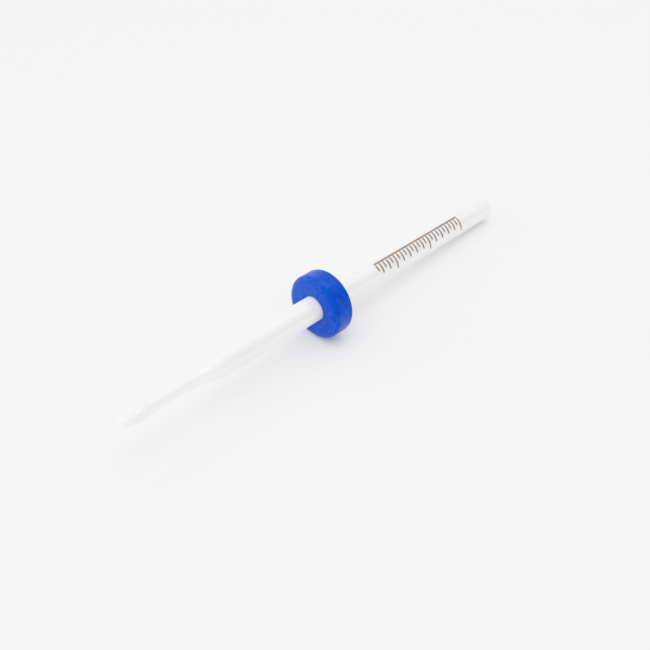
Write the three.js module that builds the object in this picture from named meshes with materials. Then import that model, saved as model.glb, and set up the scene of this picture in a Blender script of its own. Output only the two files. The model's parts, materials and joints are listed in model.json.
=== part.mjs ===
// A ceramic drill bit for an electric nail file, lying on a table.
// It has two pieces: the bit, which is one piece of zirconia from its shank to its cutting head,
// and the coloured grit ring, which is pushed onto the shank and grips it by friction.
//
// Millimetres, +Z up, table at z = 0. The bit's axis lies in the XZ plane and its tip points towards
// -X. The ring is wider than the shank, so the bit leans on the ring and on the end of its shank,
// with the tip in the air. The origin is under the middle of the bit's length.
import * as THREE from "three";

// Bit: stations are distances along the axis from the back end of the shank.
const BIT_LENGTH = 46.7;
const SHANK_RADIUS = 2.35 / 2;
const SHANK_CHAMFER = 0.15;
const TAPER_BACK = BIT_LENGTH - 9.8;
const NECK_BACK = BIT_LENGTH - 7.45;
const NECK_RADIUS = 0.61;
const TAPER_BLEND = 0.35; // how far each rounded corner of the taper reaches along the axis

// Cutting head: pear shaped, with a round nose and helical teeth.
const HEAD_BACK = BIT_LENGTH - 3.15;
const BELLY_STATION = BIT_LENGTH - 1.95;
const BELLY_RADIUS = 0.78;
const NOSE_RADIUS = 0.52;
const NOSE_START = THREE.MathUtils.degToRad(12);
const ROOT_HANDLE = 0.4; // the handles set how full the head's curves are
const BELLY_HANDLE = 0.6;
const FLANK_HANDLE = 0.5;
const TEETH = 12;
const TOOTH_DEPTH = 0.08;
const TOOTH_TWIST = THREE.MathUtils.degToRad(90); // turn of a tooth from the head's back to its nose

// How deep each column of one tooth space is cut: a cutting edge, then a gullet that climbs back.
const TOOTH_PROFILE = [0, 1, 0.85, 0.5, 0.2];

// Grit ring
const RING_RADIUS = 3.07;
const RING_WIDTH = 2.27;
const RING_BACK = 23.57;
const RING_EDGE_RADIUS = 0.5;
const RING_BORE_CHAMFER = 0.1;
const RING_CLEARANCE = 0.03; // a real ring is stretched onto the shank with no gap

// Every round section has this many flats, and one flat faces down.
const FLATS = TEETH * TOOTH_PROFILE.length;
const HALF_FLAT = Math.PI / FLATS;

// How many straight steps stand for each curve of the sections.
const HEAD_STEPS = 7;
const BLEND_STEPS = 4;
const RING_STEPS = 5;

const CERAMIC_COLOR = 0xf4f1ec;
const RING_COLOR = 0x1f56c8;

// The bit's outline as a path in (radius, station), from the centre of the shank's end to the tip.
function bitOutline() {
  const slope = (SHANK_RADIUS - NECK_RADIUS) / (NECK_BACK - TAPER_BACK);
  const blendStep = slope * TAPER_BLEND;
  const noseCentre = BIT_LENGTH - NOSE_RADIUS;
  const flankEnd = new THREE.Vector2(
    NOSE_RADIUS * Math.cos(NOSE_START),
    noseCentre + NOSE_RADIUS * Math.sin(NOSE_START),
  );

  const outline = new THREE.Path();
  outline.moveTo(0, 0);
  outline.lineTo(SHANK_RADIUS - SHANK_CHAMFER, 0);
  outline.lineTo(SHANK_RADIUS, SHANK_CHAMFER);
  outline.lineTo(SHANK_RADIUS, TAPER_BACK - TAPER_BLEND);
  outline.quadraticCurveTo(
    SHANK_RADIUS,
    TAPER_BACK,
    SHANK_RADIUS - blendStep,
    TAPER_BACK + TAPER_BLEND,
  );
  outline.lineTo(NECK_RADIUS + blendStep, NECK_BACK - TAPER_BLEND);
  outline.quadraticCurveTo(
    NECK_RADIUS,
    NECK_BACK,
    NECK_RADIUS,
    NECK_BACK + TAPER_BLEND,
  );
  outline.lineTo(NECK_RADIUS, HEAD_BACK);
  outline.bezierCurveTo(
    NECK_RADIUS,
    HEAD_BACK + ROOT_HANDLE,
    BELLY_RADIUS,
    BELLY_STATION - BELLY_HANDLE,
    BELLY_RADIUS,
    BELLY_STATION,
  );
  outline.bezierCurveTo(
    BELLY_RADIUS,
    BELLY_STATION + FLANK_HANDLE,
    flankEnd.x + FLANK_HANDLE * Math.sin(NOSE_START),
    flankEnd.y - FLANK_HANDLE * Math.cos(NOSE_START),
    flankEnd.x,
    flankEnd.y,
  );
  outline.absarc(0, noseCentre, NOSE_RADIUS, NOSE_START, Math.PI / 2, false);
  return outline;
}

function curveSteps(curve) {
  if (curve.isLineCurve) return 1;
  const onHead = curve.getPoint(1).y > HEAD_BACK;
  return onHead ? HEAD_STEPS : BLEND_STEPS;
}

// The outline's points, with few on the straight and blended stretches and more on the head.
function bitProfile() {
  const points = [];
  for (const curve of bitOutline().curves) {
    const steps = curveSteps(curve);
    for (let i = points.length ? 1 : 0; i <= steps; i++) {
      points.push(curve.getPoint(i / steps));
    }
  }
  points[points.length - 1].x = 0;
  return points;
}

// Share of the tooth depth that is cut at a station: none on the neck, all on the belly, none at
// the very tip.
function toothShare(station) {
  const runIn = (station - HEAD_BACK) / (BELLY_STATION - HEAD_BACK);
  const runOut = (BIT_LENGTH - station) / NOSE_RADIUS;
  return THREE.MathUtils.clamp(Math.min(runIn, runOut), 0, 1);
}

// Turns the plain head of revolution into twisted teeth, one column of vertices at a time.
function cutTeeth(geometry) {
  const position = geometry.getAttribute("position");
  const rows = position.count / (FLATS + 1);
  for (let i = 0; i < position.count; i++) {
    const station = position.getY(i);
    if (station <= HEAD_BACK) continue;
    const column = Math.floor(i / rows) % FLATS;
    const depth = TOOTH_DEPTH * toothShare(station);
    const cut = depth * TOOTH_PROFILE[column % TOOTH_PROFILE.length];
    const x = position.getX(i);
    const z = position.getZ(i);
    const radius = Math.max(Math.hypot(x, z) - cut, 0);
    const progress = (station - HEAD_BACK) / (BIT_LENGTH - HEAD_BACK);
    const angle = Math.atan2(x, z) + TOOTH_TWIST * progress;
    position.setX(i, radius * Math.sin(angle));
    position.setZ(i, radius * Math.cos(angle));
  }
}

function makeBit() {
  const geometry = new THREE.LatheGeometry(bitProfile(), FLATS, HALF_FLAT);
  cutTeeth(geometry);
  const material = new THREE.MeshStandardMaterial({
    color: CERAMIC_COLOR,
    roughness: 0.25,
    metalness: 0,
  });
  const bit = new THREE.Mesh(geometry, material);
  bit.name = "ceramic_bit";
  return bit;
}

// The ring's section, which closes on itself: a bore with small chamfers and large outer rounds.
function ringProfile() {
  const bore = SHANK_RADIUS + RING_CLEARANCE;
  const chamfer = RING_BORE_CHAMFER;
  const front = RING_BACK + RING_WIDTH;
  const edge = RING_EDGE_RADIUS;
  const section = new THREE.Path();
  section.moveTo(bore, RING_BACK + chamfer);
  section.lineTo(bore + chamfer, RING_BACK);
  section.absarc(RING_RADIUS - edge, RING_BACK + edge, edge, -Math.PI / 2, 0);
  section.absarc(RING_RADIUS - edge, front - edge, edge, 0, Math.PI / 2);
  section.lineTo(bore + chamfer, front);
  section.lineTo(bore, front - chamfer);
  section.lineTo(bore, RING_BACK + chamfer);
  return section.getPoints(RING_STEPS);
}

function makeRing() {
  const geometry = new THREE.LatheGeometry(ringProfile(), FLATS, HALF_FLAT);
  const material = new THREE.MeshStandardMaterial({
    color: RING_COLOR,
    roughness: 0.45,
    metalness: 0,
  });
  const ring = new THREE.Mesh(geometry, material);
  ring.name = "grit_ring";
  return ring;
}

// The angle between the axis and the table, when the bit lies on the lower corner of its shank's
// end and on the round rear edge of the ring. Both touch the table with a flat.
function leanAngle() {
  const flat = Math.cos(HALF_FLAT);
  const along = RING_BACK + RING_EDGE_RADIUS - SHANK_CHAMFER;
  const across = (RING_RADIUS - RING_EDGE_RADIUS - SHANK_RADIUS) * flat;
  const rounding = RING_EDGE_RADIUS * flat;
  return (
    Math.atan2(across, along) + Math.asin(rounding / Math.hypot(across, along))
  );
}

// Lays the pieces down: their local +Y, the axis, goes to -X and tips up by the lean angle.
function layDown(pieces) {
  const lean = leanAngle();
  const laid = new THREE.Group();
  const side = new THREE.Vector3(0, 1, 0);
  const axis = new THREE.Vector3(-Math.cos(lean), 0, Math.sin(lean));
  const upper = new THREE.Vector3(Math.sin(lean), 0, Math.cos(lean));
  laid.setRotationFromMatrix(new THREE.Matrix4().makeBasis(side, axis, upper));
  laid.add(...pieces);

  laid.updateMatrixWorld(true);
  const box = new THREE.Box3().setFromObject(laid, true);
  laid.position.set(-(box.min.x + box.max.x) / 2, 0, -box.min.z);
  return laid;
}

const drillBit = new THREE.Group();
drillBit.add(layDown([makeBit(), makeRing()]));

export default drillBit;
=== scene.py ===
"""Visual model of a ceramic bit for an electric nail file, with a grit ring pushed onto its shank.

The bit and the ring are remade as fine meshes round the same axis as the CAD nodes they replace.
Both meshes use the bit's own frame: local X runs from the shank's end to the tip, local Z is the
side that lies uppermost, and local Y is the table's Y.
"""

import json
import math

import bmesh
import bpy
from mathutils import Matrix, Vector


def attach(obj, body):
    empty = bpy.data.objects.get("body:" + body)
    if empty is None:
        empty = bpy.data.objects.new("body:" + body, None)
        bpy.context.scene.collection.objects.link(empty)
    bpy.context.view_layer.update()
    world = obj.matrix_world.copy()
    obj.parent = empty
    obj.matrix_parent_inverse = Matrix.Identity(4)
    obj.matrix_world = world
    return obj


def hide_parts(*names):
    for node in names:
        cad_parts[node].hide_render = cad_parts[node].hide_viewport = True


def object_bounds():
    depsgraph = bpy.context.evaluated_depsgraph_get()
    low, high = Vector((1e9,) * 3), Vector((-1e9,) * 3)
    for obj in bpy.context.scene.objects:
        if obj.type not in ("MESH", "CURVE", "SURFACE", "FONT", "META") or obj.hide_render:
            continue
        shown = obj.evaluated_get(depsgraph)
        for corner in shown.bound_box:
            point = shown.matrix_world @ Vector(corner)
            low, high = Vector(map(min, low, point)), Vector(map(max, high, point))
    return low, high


MM = 0.001

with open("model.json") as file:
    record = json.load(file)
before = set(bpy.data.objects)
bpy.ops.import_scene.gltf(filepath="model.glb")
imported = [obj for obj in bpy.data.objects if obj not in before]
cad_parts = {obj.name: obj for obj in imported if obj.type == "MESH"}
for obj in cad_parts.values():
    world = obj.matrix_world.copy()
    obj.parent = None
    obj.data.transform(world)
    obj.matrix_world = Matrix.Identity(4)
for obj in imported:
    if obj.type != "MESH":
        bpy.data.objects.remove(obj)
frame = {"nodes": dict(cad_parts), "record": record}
cad_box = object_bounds()

# ---------------------------------------------------------------------------------------- camera
CAMERA_AZIMUTH = math.radians(-46.02)
CAMERA_ELEVATION = math.radians(42.65)
CAMERA_DISTANCE = 80.06 * MM
CAMERA_LENS = 47.73
CAMERA_NEAR = 2 * MM
CAMERA_FAR = 10
TARGET_SHIFT = Vector((-0.77, 0.15, 0.0)) * MM  # from the middle of the box's underside


def make_camera():
    low, high = cad_box
    target = Vector(((low.x + high.x) / 2, (low.y + high.y) / 2, low.z)) + TARGET_SHIFT
    back = Vector((
        math.sin(CAMERA_AZIMUTH) * math.cos(CAMERA_ELEVATION),
        -math.cos(CAMERA_AZIMUTH) * math.cos(CAMERA_ELEVATION),
        math.sin(CAMERA_ELEVATION),
    ))
    data = bpy.data.cameras.new("camera")
    data.lens = CAMERA_LENS
    data.clip_start = CAMERA_NEAR
    data.clip_end = CAMERA_FAR
    camera = bpy.data.objects.new("camera", data)
    camera.location = target + back * CAMERA_DISTANCE
    camera.rotation_mode = "QUATERNION"
    camera.rotation_quaternion = (-back).to_track_quat("-Z", "Y")
    bpy.context.scene.collection.objects.link(camera)
    bpy.context.scene.camera = camera


make_camera()

# ---------------------------------------------------------------------------- the bit's own frame
mounts = {mount["name"]: mount for mount in frame["record"]["mounts"]}
SHANK_END = Vector(mounts["shank_end_face"]["pos_m"])
AXIS = -Vector(mounts["shank_end_face"]["axis"]).normalized()
SIDE = Vector((0, -1, 0))
UPPER = AXIS.cross(SIDE)
BIT_FRAME = Matrix.Translation(SHANK_END) @ Matrix((AXIS, SIDE, UPPER)).transposed().to_4x4()


def reach(node):
    """Stations along the axis and radii about it that a CAD node spans: (lowest, highest) of each."""
    to_local = BIT_FRAME.inverted()
    points = [to_local @ vertex.co for vertex in frame["nodes"][node].data.vertices]
    stations = [p.x for p in points]
    radii = [math.hypot(p.y, p.z) for p in points]
    return (min(stations), max(stations)), (min(radii), max(radii))


(_, BIT_LENGTH), (_, SHANK_RADIUS) = reach("ceramic_bit")
(RING_BACK, RING_FRONT), (RING_BORE, RING_RADIUS) = reach("grit_ring")

# ---------------------------------------------------------------------------------- mesh helpers
POLE = 1e-9  # a profile point with a smaller radius becomes one vertex on the axis


def add_mesh(name, bm, material, body, smooth_angle):
    mesh = bpy.data.meshes.new(name)
    bmesh.ops.recalc_face_normals(bm, faces=bm.faces)
    bm.to_mesh(mesh)
    bm.free()
    for polygon in mesh.polygons:
        polygon.use_smooth = True
    mesh.set_sharp_from_angle(angle=smooth_angle)
    mesh.materials.append(material)
    piece = bpy.data.objects.new(name, mesh)
    bpy.context.scene.collection.objects.link(piece)
    piece.matrix_world = BIT_FRAME
    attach(piece, body)
    return piece


def on_axis(station, radius, angle):
    """Place of a vertex, as (station, Y, Z). Angle 0 is the uppermost side and 90 degrees is +Y."""
    return station, radius * math.sin(angle), radius * math.cos(angle)


def smooth_step(share):
    return share * share * (3 - 2 * share)


def lathe(profile, segments, closed, shape=None):
    """A solid of revolution about local X. The profile is a list of (station, radius), and shape
    may change the radius at each (station, radius, angle). An open profile ends in two poles."""
    bm = bmesh.new()
    rings = []
    for station, radius in profile:
        if radius < POLE:
            rings.append([bm.verts.new((station, 0, 0))])
            continue
        ring = []
        for i in range(segments):
            angle = 2 * math.pi * i / segments
            shaped = shape(station, radius, angle) if shape else radius
            ring.append(bm.verts.new(on_axis(station, shaped, angle)))
        rings.append(ring)
    pairs = list(zip(rings, rings[1:]))
    if closed:
        pairs.append((rings[-1], rings[0]))
    for a, b in pairs:
        for i in range(segments):
            j = (i + 1) % segments
            corners = [a[i % len(a)], a[j % len(a)], b[j % len(b)], b[i % len(b)]]
            bm.faces.new(list(dict.fromkeys(corners)))
    return bm


def arc(centre_station, centre_radius, size, start, end, steps):
    """Points of a circular arc in the profile; angles in degrees, 0 outwards and 90 to the tip."""
    points = []
    for i in range(steps + 1):
        a = math.radians(start + (end - start) * i / steps)
        points.append((centre_station + size * math.sin(a), centre_radius + size * math.cos(a)))
    return points


def bezier(handles, steps):
    """Points of a Bezier curve of any degree, without its first point."""
    points = []
    for i in range(1, steps + 1):
        level = [Vector(h) for h in handles]
        while len(level) > 1:
            level = [p.lerp(q, i / steps) for p, q in zip(level, level[1:])]
        points.append(tuple(level[0]))
    return points


# -------------------------------------------------------------------------------------- materials


def new_material(name):
    material = bpy.data.materials.new(name)
    material.use_nodes = True
    tree = material.node_tree
    return material, tree, tree.nodes["Principled BSDF"]


def own_noise(tree, scale, detail=3.0, distortion=0.0, stretch=(1, 1, 1)):
    """Noise in the piece's own frame, with features of about 1/scale metres, or finer along an
    axis that is stretched."""
    coords = tree.nodes.new("ShaderNodeTexCoord")
    mapping = tree.nodes.new("ShaderNodeMapping")
    mapping.inputs["Scale"].default_value = stretch
    noise = tree.nodes.new("ShaderNodeTexNoise")
    noise.inputs["Scale"].default_value = scale
    noise.inputs["Detail"].default_value = detail
    noise.inputs["Distortion"].default_value = distortion
    tree.links.new(coords.outputs["Object"], mapping.inputs["Vector"])
    tree.links.new(mapping.outputs["Vector"], noise.inputs["Vector"])
    return noise.outputs["Fac"]


def remap(tree, value, from_low, from_high, to_low, to_high):
    node = tree.nodes.new("ShaderNodeMapRange")
    node.inputs["From Min"].default_value = from_low
    node.inputs["From Max"].default_value = from_high
    node.inputs["To Min"].default_value = to_low
    node.inputs["To Max"].default_value = to_high
    tree.links.new(value, node.inputs["Value"])
    return node.outputs["Result"]


def mix_colors(tree, factor, a, b):
    node = tree.nodes.new("ShaderNodeMix")
    node.data_type = "RGBA"
    factor_in, color_a, color_b = node.inputs[0], node.inputs[6], node.inputs[7]
    tree.links.new(factor, factor_in)
    for socket, color in ((color_a, a), (color_b, b)):
        if isinstance(color, tuple):
            socket.default_value = (*color, 1)
        else:
            tree.links.new(color, socket)
    return node.outputs[2]


def bump(tree, height, distance, strength, below=None):
    node = tree.nodes.new("ShaderNodeBump")
    node.inputs["Distance"].default_value = distance
    node.inputs["Strength"].default_value = strength
    tree.links.new(height, node.inputs["Height"])
    if below is not None:
        tree.links.new(below, node.inputs["Normal"])
    return node.outputs["Normal"]


ZIRCONIA_WHITE = (0.930, 0.924, 0.926)
ZIRCONIA_CLOUD = (0.908, 0.899, 0.900)
ZIRCONIA_SPECK = (0.86, 0.845, 0.84)
RING_DEEP_BLUE = (0.0, 0.028, 0.355)
RING_PALE_BLUE = (0.008, 0.057, 0.46)
RING_PATCH_BLUE = (0.0, 0.035, 0.405)
MARK_DARK_BROWN = (0.115, 0.067, 0.045)
MARK_PALE_BROWN = (0.215, 0.145, 0.105)


def make_zirconia():
    """Dense white ceramic: glossy, slightly translucent, ground round its axis."""
    material, tree, shader = new_material("zirconia")
    clouds = remap(tree, own_noise(tree, 500), 0.3, 0.7, 0, 1)
    body_color = mix_colors(tree, clouds, ZIRCONIA_WHITE, ZIRCONIA_CLOUD)
    specks = remap(tree, own_noise(tree, 9000, detail=1), 0.66, 0.8, 0, 1)
    color = mix_colors(tree, specks, body_color, ZIRCONIA_SPECK)
    tree.links.new(color, shader.inputs["Base Color"])

    grinding = own_noise(tree, 900, detail=5, stretch=(30, 1, 1))
    gloss = remap(tree, grinding, 0.3, 0.7, 0.17, 0.25)
    tree.links.new(gloss, shader.inputs["Roughness"])
    lines = bump(tree, grinding, 2.5e-7, 0.30)
    grain = own_noise(tree, 6000, detail=2)
    tree.links.new(bump(tree, grain, 4e-7, 0.25, lines), shader.inputs["Normal"])

    shader.inputs["IOR"].default_value = 2.1
    shader.inputs["Subsurface Weight"].default_value = 0.6
    shader.inputs["Subsurface Radius"].default_value = (1.0, 0.95, 0.9)
    shader.inputs["Subsurface Scale"].default_value = 1.0 * MM
    return material


def make_ring_silicone():
    """Blue satin moulded silicone: leathery, mottled with a pale bloom, with a fine matt grain."""
    material, tree, shader = new_material("ring_silicone")
    leather = own_noise(tree, 2400, detail=4, distortion=0.8)
    mottle = remap(tree, leather, 0.38, 0.64, 0, 1)
    blue = mix_colors(tree, mottle, RING_DEEP_BLUE, RING_PALE_BLUE)
    patches = remap(tree, own_noise(tree, 600, detail=2), 0.48, 0.66, 0, 1)
    color = mix_colors(tree, patches, blue, RING_PATCH_BLUE)
    tree.links.new(color, shader.inputs["Base Color"])

    satin = remap(tree, own_noise(tree, 1500, detail=4), 0.3, 0.7, 0.30, 0.44)
    tree.links.new(satin, shader.inputs["Roughness"])
    creases = bump(tree, leather, 3.0e-5, 0.6)
    grain = own_noise(tree, 9000, detail=2)
    tree.links.new(bump(tree, grain, 4e-6, 0.35, creases), shader.inputs["Normal"])

    shader.inputs["IOR"].default_value = 1.45
    shader.inputs["Specular IOR Level"].default_value = 0.16
    shader.inputs["Specular Tint"].default_value = (0.22, 0.75, 1.0, 1)
    shader.inputs["Subsurface Weight"].default_value = 0.3
    shader.inputs["Subsurface Radius"].default_value = (0.1, 0.3, 1.0)
    shader.inputs["Subsurface Scale"].default_value = 0.6 * MM
    return material


def make_burnt_mark():
    """Brown surface mark, burnt unevenly into the ceramic."""
    material, tree, shader = new_material("burnt_mark")
    patches = remap(tree, own_noise(tree, 5000, detail=4), 0.35, 0.65, 0, 1)
    color = mix_colors(tree, patches, MARK_DARK_BROWN, MARK_PALE_BROWN)
    tree.links.new(color, shader.inputs["Base Color"])
    tree.links.new(remap(tree, patches, 0, 1, 0.45, 0.7), shader.inputs["Roughness"])
    tree.links.new(bump(tree, patches, 1.5e-6, 0.3), shader.inputs["Normal"])
    return material


# ------------------------------------------------------------------------------------ ceramic bit
BIT_SEGMENTS = 288
SHANK_CHAMFER = 0.15 * MM
CHAMFER_BREAK = 0.04 * MM  # how far the chamfer's two edges are rounded
SHANK_ROWS = 24
TAPER_BACK = BIT_LENGTH - 9.8 * MM
NECK_BACK = BIT_LENGTH - 7.45 * MM
NECK_RADIUS = 0.61 * MM
TAPER_BLEND = 0.35 * MM
HEAD_BACK = BIT_LENGTH - 3.15 * MM
BELLY_STATION = BIT_LENGTH - 1.95 * MM
BELLY_RADIUS = 0.78 * MM
NOSE_RADIUS = 0.52 * MM
NOSE_START = 12  # degrees
ROOT_HANDLE = 0.4 * MM  # the handles set how full the head's curves are
BELLY_HANDLE = 0.6 * MM
FLANK_HANDLE = 0.5 * MM

FLUTES = 12
FLUTE_DEPTH = 0.048 * MM
FLUTE_TWIST = math.radians(90)
FLUTE_EDGE = 0.16  # share of the way to the next flute where this one begins
FLUTE_FLOOR = 0.38  # and where it is deepest
NOTCH_DEPTH = 0.022 * MM
NOTCH_PITCH = 0.20 * MM


def bit_profile():
    profile = [(0, 0), (0, SHANK_RADIUS * 0.5)]
    chamfer_in = (0, SHANK_RADIUS - SHANK_CHAMFER)
    chamfer_out = (SHANK_CHAMFER, SHANK_RADIUS)
    middle = (SHANK_CHAMFER / 2, SHANK_RADIUS - SHANK_CHAMFER / 2)
    shank_back = SHANK_CHAMFER + CHAMFER_BREAK
    shank_front = TAPER_BACK - TAPER_BLEND
    profile.append((0, chamfer_in[1] - CHAMFER_BREAK))
    profile += bezier([profile[-1], chamfer_in, middle], 5)
    profile += bezier([middle, chamfer_out, (shank_back, SHANK_RADIUS)], 5)
    for i in range(1, SHANK_ROWS + 1):
        station = shank_back + (shank_front - shank_back) * i / SHANK_ROWS
        profile.append((station, SHANK_RADIUS))

    drop = (SHANK_RADIUS - NECK_RADIUS) / (NECK_BACK - TAPER_BACK) * TAPER_BLEND
    taper_in = (TAPER_BACK + TAPER_BLEND, SHANK_RADIUS - drop)
    taper_out = (NECK_BACK - TAPER_BLEND, NECK_RADIUS + drop)
    neck_in = (NECK_BACK + TAPER_BLEND, NECK_RADIUS)
    profile += bezier([profile[-1], (TAPER_BACK, SHANK_RADIUS), taper_in], 12)
    profile += bezier([taper_in, taper_out], 8)
    profile += bezier([taper_out, (NECK_BACK, NECK_RADIUS), neck_in], 12)
    profile += bezier([neck_in, (HEAD_BACK, NECK_RADIUS)], 8)

    nose_centre = BIT_LENGTH - NOSE_RADIUS
    nose = arc(nose_centre, 0, NOSE_RADIUS, NOSE_START, 90, 34)
    slope = math.radians(NOSE_START)
    root = (HEAD_BACK + ROOT_HANDLE, NECK_RADIUS)
    belly_in = (BELLY_STATION - BELLY_HANDLE, BELLY_RADIUS)
    belly = (BELLY_STATION, BELLY_RADIUS)
    belly_out = (BELLY_STATION + FLANK_HANDLE, BELLY_RADIUS)
    flank = (
        nose[0][0] - FLANK_HANDLE * math.cos(slope),
        nose[0][1] + FLANK_HANDLE * math.sin(slope),
    )
    profile += bezier([profile[-1], root, belly_in, belly], 52)
    profile += bezier([belly, belly_out, flank, nose[0]], 60)
    profile += nose[1:-1] + [(BIT_LENGTH, 0)]
    return profile


def cut_head(station, radius, angle):
    """Helical flutes with a steep and a gentle side, crossed by fine notches the other way."""
    if station <= HEAD_BACK:
        return radius
    run_in = (station - HEAD_BACK) / (BELLY_STATION - HEAD_BACK)
    run_out = (BIT_LENGTH - station) / NOSE_RADIUS
    share = smooth_step(min(run_in, run_out, 1))
    progress = (station - HEAD_BACK) / (BIT_LENGTH - HEAD_BACK)
    turn = (angle - FLUTE_TWIST * progress) * FLUTES / (2 * math.pi)
    place = turn - math.floor(turn)
    if place < FLUTE_EDGE:
        depth = 0
    elif place < FLUTE_FLOOR:
        depth = smooth_step((place - FLUTE_EDGE) / (FLUTE_FLOOR - FLUTE_EDGE))
    else:
        climb = (place - FLUTE_FLOOR) / (1 - FLUTE_FLOOR)
        depth = 0.5 + 0.5 * math.cos(math.pi * climb)
    crossing = station / NOTCH_PITCH + angle * FLUTES / (2 * math.pi)
    notch = max(0.0, math.cos(2 * math.pi * crossing)) ** 2
    return radius - share * (FLUTE_DEPTH * depth + NOTCH_DEPTH * notch * (1 - depth))


zirconia = make_zirconia()
bit = add_mesh(
    "bit_ceramic",
    lathe(bit_profile(), BIT_SEGMENTS, closed=False, shape=cut_head),
    zirconia,
    "bit",
    math.radians(40),
)
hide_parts("ceramic_bit")

# -------------------------------------------------------------------------------------- grit ring
RING_SEGMENTS = 240
FACE_ROWS = 6
EDGE_ALONG = 0.50 * MM  # how far the round of each outer edge reaches along the axis
EDGE_INWARD = 0.64 * MM  # and towards the axis
BORE_EDGE = 0.18 * MM


def ring_profile():
    """Bore with small rounded edges, two flat faces and a quarter of an ellipse at each outer
    edge."""
    bore_centre = RING_BORE + BORE_EDGE
    outer_centre = RING_RADIUS - EDGE_INWARD
    profile = arc(RING_BACK + BORE_EDGE, bore_centre, BORE_EDGE, -180, -90, 8)
    for i in range(1, FACE_ROWS):
        profile.append((RING_BACK, bore_centre + (outer_centre - bore_centre) * i / FACE_ROWS))
    edge = [(EDGE_ALONG * s, EDGE_INWARD * r) for s, r in arc(0, 0, 1, 0, 90, 24)]
    profile += [(RING_BACK + EDGE_ALONG - s, outer_centre + r) for s, r in reversed(edge)]
    profile += [(RING_FRONT - EDGE_ALONG + s, outer_centre + r) for s, r in edge]
    for i in range(1, FACE_ROWS):
        profile.append((RING_FRONT, outer_centre + (bore_centre - outer_centre) * i / FACE_ROWS))
    profile += arc(RING_FRONT - BORE_EDGE, bore_centre, BORE_EDGE, 90, 180, 8)
    return profile


ring_silicone = make_ring_silicone()
ring = add_mesh(
    "grit_ring_silicone",
    lathe(ring_profile(), RING_SEGMENTS, closed=True),
    ring_silicone,
    "ring",
    math.radians(50),
)
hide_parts("grit_ring")

# ------------------------------------------------------------------------------------- shank mark
# A plain graduated scale: a line along the shank with a tick at every half millimetre.
MARK_START = 5.35 * MM
MARK_LENGTH = 12.5 * MM
MARK_AROUND = math.radians(46)  # from the uppermost side towards -Y
MARK_HEIGHT = 1.5 * MM
MARK_LINE = 0.22 * MM
TICK_PITCH = 0.5 * MM
MIDDLE_EVERY = 2  # every second tick is middling and every tenth is long
LONG_EVERY = 10
SHORT_TICK = 0.48  # share of the mark's height
MIDDLE_TICK = 0.74
MARK_PROUD = 0.004 * MM
MARK_DEEP = 0.02 * MM
STROKE_STEP = 0.08 * MM
CAP_STOPS = (0.0, 0.15, 0.5)  # rows of a stroke's round end, from its tip inwards
CAP_TIP = 0.02  # the square of the share of its width that a stroke keeps at its tip


def add_stroke(bm, start, end, width):
    """A round-ended stroke wrapped round the shank. Points are (station, distance round it)."""
    start, end = Vector(start), Vector(end)
    along = (end - start).normalized()
    across = Vector((-along.y, along.x)) * width / 2
    length = (end - start).length
    cap = width / 2
    steps = max(2, round(length / STROKE_STEP))
    offsets = [-cap * math.cos(math.pi / 2 * s) for s in CAP_STOPS]
    offsets += [length * i / steps for i in range(steps + 1)]
    offsets += [length + cap * math.cos(math.pi / 2 * s) for s in reversed(CAP_STOPS)]
    outer, inner = SHANK_RADIUS + MARK_PROUD, SHANK_RADIUS - MARK_DEEP
    section = [(-1, outer), (0, outer), (1, outer), (1, inner), (-1, inner)]
    rows = []
    for offset in offsets:
        over = max(-offset, offset - length, 0) / cap
        half = math.sqrt(max(1 - over * over, CAP_TIP))
        middle = start + along * offset
        row = []
        for side, radius in section:
            station, round_by = middle + across * half * side
            angle = MARK_AROUND + round_by / SHANK_RADIUS
            row.append(bm.verts.new(on_axis(station, radius, angle)))
        rows.append(row)
    for a, b in zip(rows, rows[1:]):
        for i in range(len(section)):
            j = (i + 1) % len(section)
            bm.faces.new((a[i], a[j], b[j], b[i]))
    bm.faces.new(rows[0])
    bm.faces.new(rows[-1])


def tick_share(i):
    if i % LONG_EVERY == 0:
        return 1.0
    return MIDDLE_TICK if i % MIDDLE_EVERY == 0 else SHORT_TICK


def make_mark():
    bm = bmesh.new()
    low = -MARK_HEIGHT / 2
    add_stroke(bm, (MARK_START, low), (MARK_START + MARK_LENGTH, low), MARK_LINE)
    for i in range(round(MARK_LENGTH / TICK_PITCH) + 1):
        station = MARK_START + i * TICK_PITCH
        end = low + MARK_HEIGHT * tick_share(i)
        add_stroke(bm, (station, low + MARK_LINE), (station, end), MARK_LINE)
    return bm


add_mesh("shank_scale_mark", make_mark(), make_burnt_mark(), "bit", math.radians(30))

# ----------------------------------------------------------------------------------- floor, light
FLOOR_REACH = 2.0  # metres from the middle to each side
FLOOR_COLOR = (0.90, 0.90, 0.90, 1)
BACKDROP_RADIUS = 1.8
BACKDROP_BRIGHTNESS = 0.84


def add_stage_mesh(name, bm, material):
    mesh = bpy.data.meshes.new(name)
    bm.to_mesh(mesh)
    bm.free()
    mesh.materials.append(material)
    staged = bpy.data.objects.new(name, mesh)
    bpy.context.scene.collection.objects.link(staged)
    return staged


def make_floor():
    bm = bmesh.new()
    bmesh.ops.create_grid(bm, x_segments=1, y_segments=1, size=FLOOR_REACH)
    material, _, shader = new_material("pale_floor")
    shader.inputs["Base Color"].default_value = FLOOR_COLOR
    shader.inputs["Roughness"].default_value = 0.9
    shader.inputs["Specular IOR Level"].default_value = 0.1
    add_stage_mesh("floor", bm, material)


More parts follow.
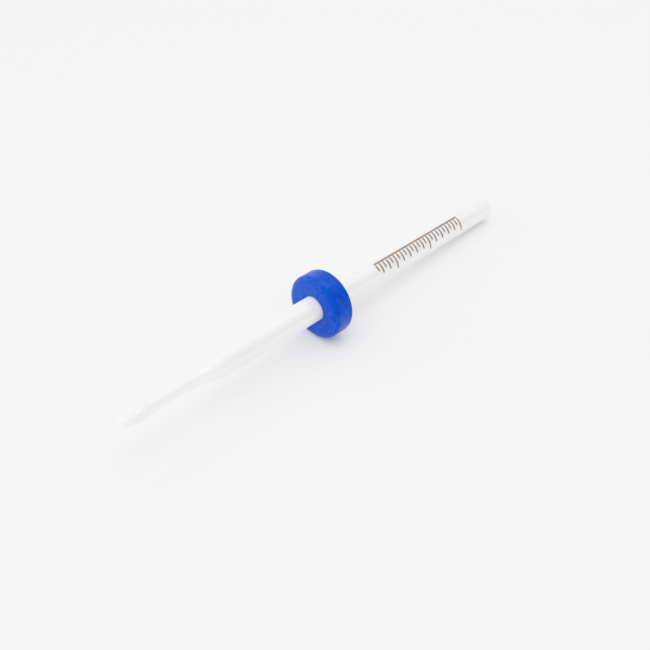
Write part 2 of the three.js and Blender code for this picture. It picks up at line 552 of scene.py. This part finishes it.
def make_backdrop():
    """A plain pale dome that only the camera sees, so it keeps none of the room's light away."""
    bm = bmesh.new()
    bmesh.ops.create_uvsphere(bm, u_segments=64, v_segments=32, radius=BACKDROP_RADIUS)
    material, _, shader = new_material("pale_backdrop")
    shader.inputs["Base Color"].default_value = (0, 0, 0, 1)
    shader.inputs["Specular IOR Level"].default_value = 0
    shader.inputs["Emission Color"].default_value = (1, 1, 1, 1)
    shader.inputs["Emission Strength"].default_value = BACKDROP_BRIGHTNESS
    backdrop = add_stage_mesh("backdrop", bm, material)
    backdrop.visible_diffuse = False
    backdrop.visible_glossy = False
    backdrop.visible_transmission = False
    backdrop.visible_volume_scatter = False
    backdrop.visible_shadow = False


# Brightness of the room by the sine of the elevation, in front of the object and behind it.
FRONT_BRIGHTNESS = (
    (0.0, 0.80), (0.50, 0.82), (0.62, 0.84), (0.68, 1.15), (0.84, 1.15), (0.90, 0.78),
)
BACK_BRIGHTNESS = (
    (0.0, 0.85), (0.28, 0.85), (0.36, 0.50), (0.58, 0.50), (0.68, 1.60), (0.84, 1.60), (0.90, 0.78),
)
ROOM_BLEND = 0.2  # the front passes into the back between this far before and behind the middle

# The window and the corner fade in between these two cosines of the angle from their directions.
WINDOW_DIRECTION = Vector((-0.72, 0.68, 0.14)).normalized()
WINDOW_FADE = (0.72, 0.92)
WINDOW_BRIGHTNESS = 1.0
BRIGHTNESS_RANGE = 2.0  # the ramps hold shares of this
EXPOSURE = 0.965

# A dark corner of the room, in front on the right.
CORNER_DIRECTION = Vector((0.50, -0.74, 0.40)).normalized()
CORNER_FADE = (0.80, 0.95)
CORNER_SHADE = 0.85  # the share of the light that it takes away

SOFTBOX_SIZE = 0.22
SOFTBOX_POWER = 0.21  # watts
SOFTBOX_DISTANCE = 0.30
SOFTBOX_DIRECTION = Vector((0.0, -0.09, 1.0)).normalized()


def add_ramp(tree, value, stops):
    ramp = tree.nodes.new("ShaderNodeValToRGB")
    tree.links.new(value, ramp.inputs["Fac"])
    elements = ramp.color_ramp.elements
    while len(elements) < len(stops):
        elements.new(0.5)
    for element, (position, brightness) in zip(elements, stops):
        element.position = position
        element.color = (*(brightness / BRIGHTNESS_RANGE,) * 3, 1)
    return ramp.outputs["Color"]


def make_world():
    """A white room: brightest high up behind the object, with a low window behind it on the left
    and a dark corner in front on the right."""
    world = bpy.data.worlds.new("studio")
    bpy.context.scene.world = world
    world.use_nodes = True
    tree = world.node_tree
    coords = tree.nodes.new("ShaderNodeTexCoord").outputs["Generated"]

    def vector_math(operation, a, b):
        node = tree.nodes.new("ShaderNodeVectorMath")
        node.operation = operation
        tree.links.new(a, node.inputs[0])
        tree.links.new(b, node.inputs[1])
        return node.outputs["Vector"]

    def facing(direction):
        node = tree.nodes.new("ShaderNodeVectorMath")
        node.operation = "DOT_PRODUCT"
        node.inputs[1].default_value = direction
        tree.links.new(coords, node.inputs[0])
        return node.outputs["Value"]

    split = tree.nodes.new("ShaderNodeSeparateXYZ")
    tree.links.new(coords, split.inputs["Vector"])
    front = add_ramp(tree, split.outputs["Z"], FRONT_BRIGHTNESS)
    back = add_ramp(tree, split.outputs["Z"], BACK_BRIGHTNESS)
    behind = remap(tree, split.outputs["Y"], -ROOM_BLEND, ROOM_BLEND, 0, 1)
    room = mix_colors(tree, behind, front, back)

    glow = WINDOW_BRIGHTNESS / BRIGHTNESS_RANGE
    window = remap(tree, facing(WINDOW_DIRECTION), *WINDOW_FADE, 0, glow)
    corner = remap(tree, facing(CORNER_DIRECTION), *CORNER_FADE, 1, 1 - CORNER_SHADE)
    total = vector_math("MULTIPLY", vector_math("ADD", room, window), corner)
    background = tree.nodes["Background"]
    tree.links.new(total, background.inputs["Color"])
    background.inputs["Strength"].default_value = BRIGHTNESS_RANGE * EXPOSURE


def make_light():
    data = bpy.data.lights.new("softbox", "AREA")
    data.shape = "DISK"
    data.size = SOFTBOX_SIZE
    data.energy = SOFTBOX_POWER * EXPOSURE
    light = bpy.data.objects.new("softbox", data)
    light.location = SOFTBOX_DIRECTION * SOFTBOX_DISTANCE
    light.rotation_mode = "QUATERNION"
    light.rotation_quaternion = (-SOFTBOX_DIRECTION).to_track_quat("-Z", "Y")
    bpy.context.scene.collection.objects.link(light)


FLOOR_LEVEL = 0.910  # how bright the bare floor looks, where 1 is the screen's white
SHOULDER = 2.0  # how softly the tones roll off towards white
TONE_RANGE = 2.0  # the brightest light that the tone curve tells apart
TONE_STEPS = 12


def tone(light):
    level = FLOOR_LEVEL * (1 - math.exp(-SHOULDER * light)) / (1 - math.exp(-SHOULDER))
    return min(level, 1.0)


def set_tone_curve():
    """High-key tones: bright greys are pressed together softly below white."""
    settings = bpy.context.scene.view_settings
    settings.view_transform = "Standard"
    settings.use_curve_mapping = True
    mapping = settings.curve_mapping
    mapping.white_level = (TONE_RANGE,) * 3
    points = mapping.curves[3].points  # the curve that red, green and blue share
    points[0].location = (0, tone(0))
    points[1].location = (1, tone(TONE_RANGE))
    for i in range(1, TONE_STEPS):
        share = i / TONE_STEPS
        points.new(share, tone(TONE_RANGE * share))
    mapping.update()


make_floor()
make_backdrop()
make_world()
make_light()
set_tone_curve()
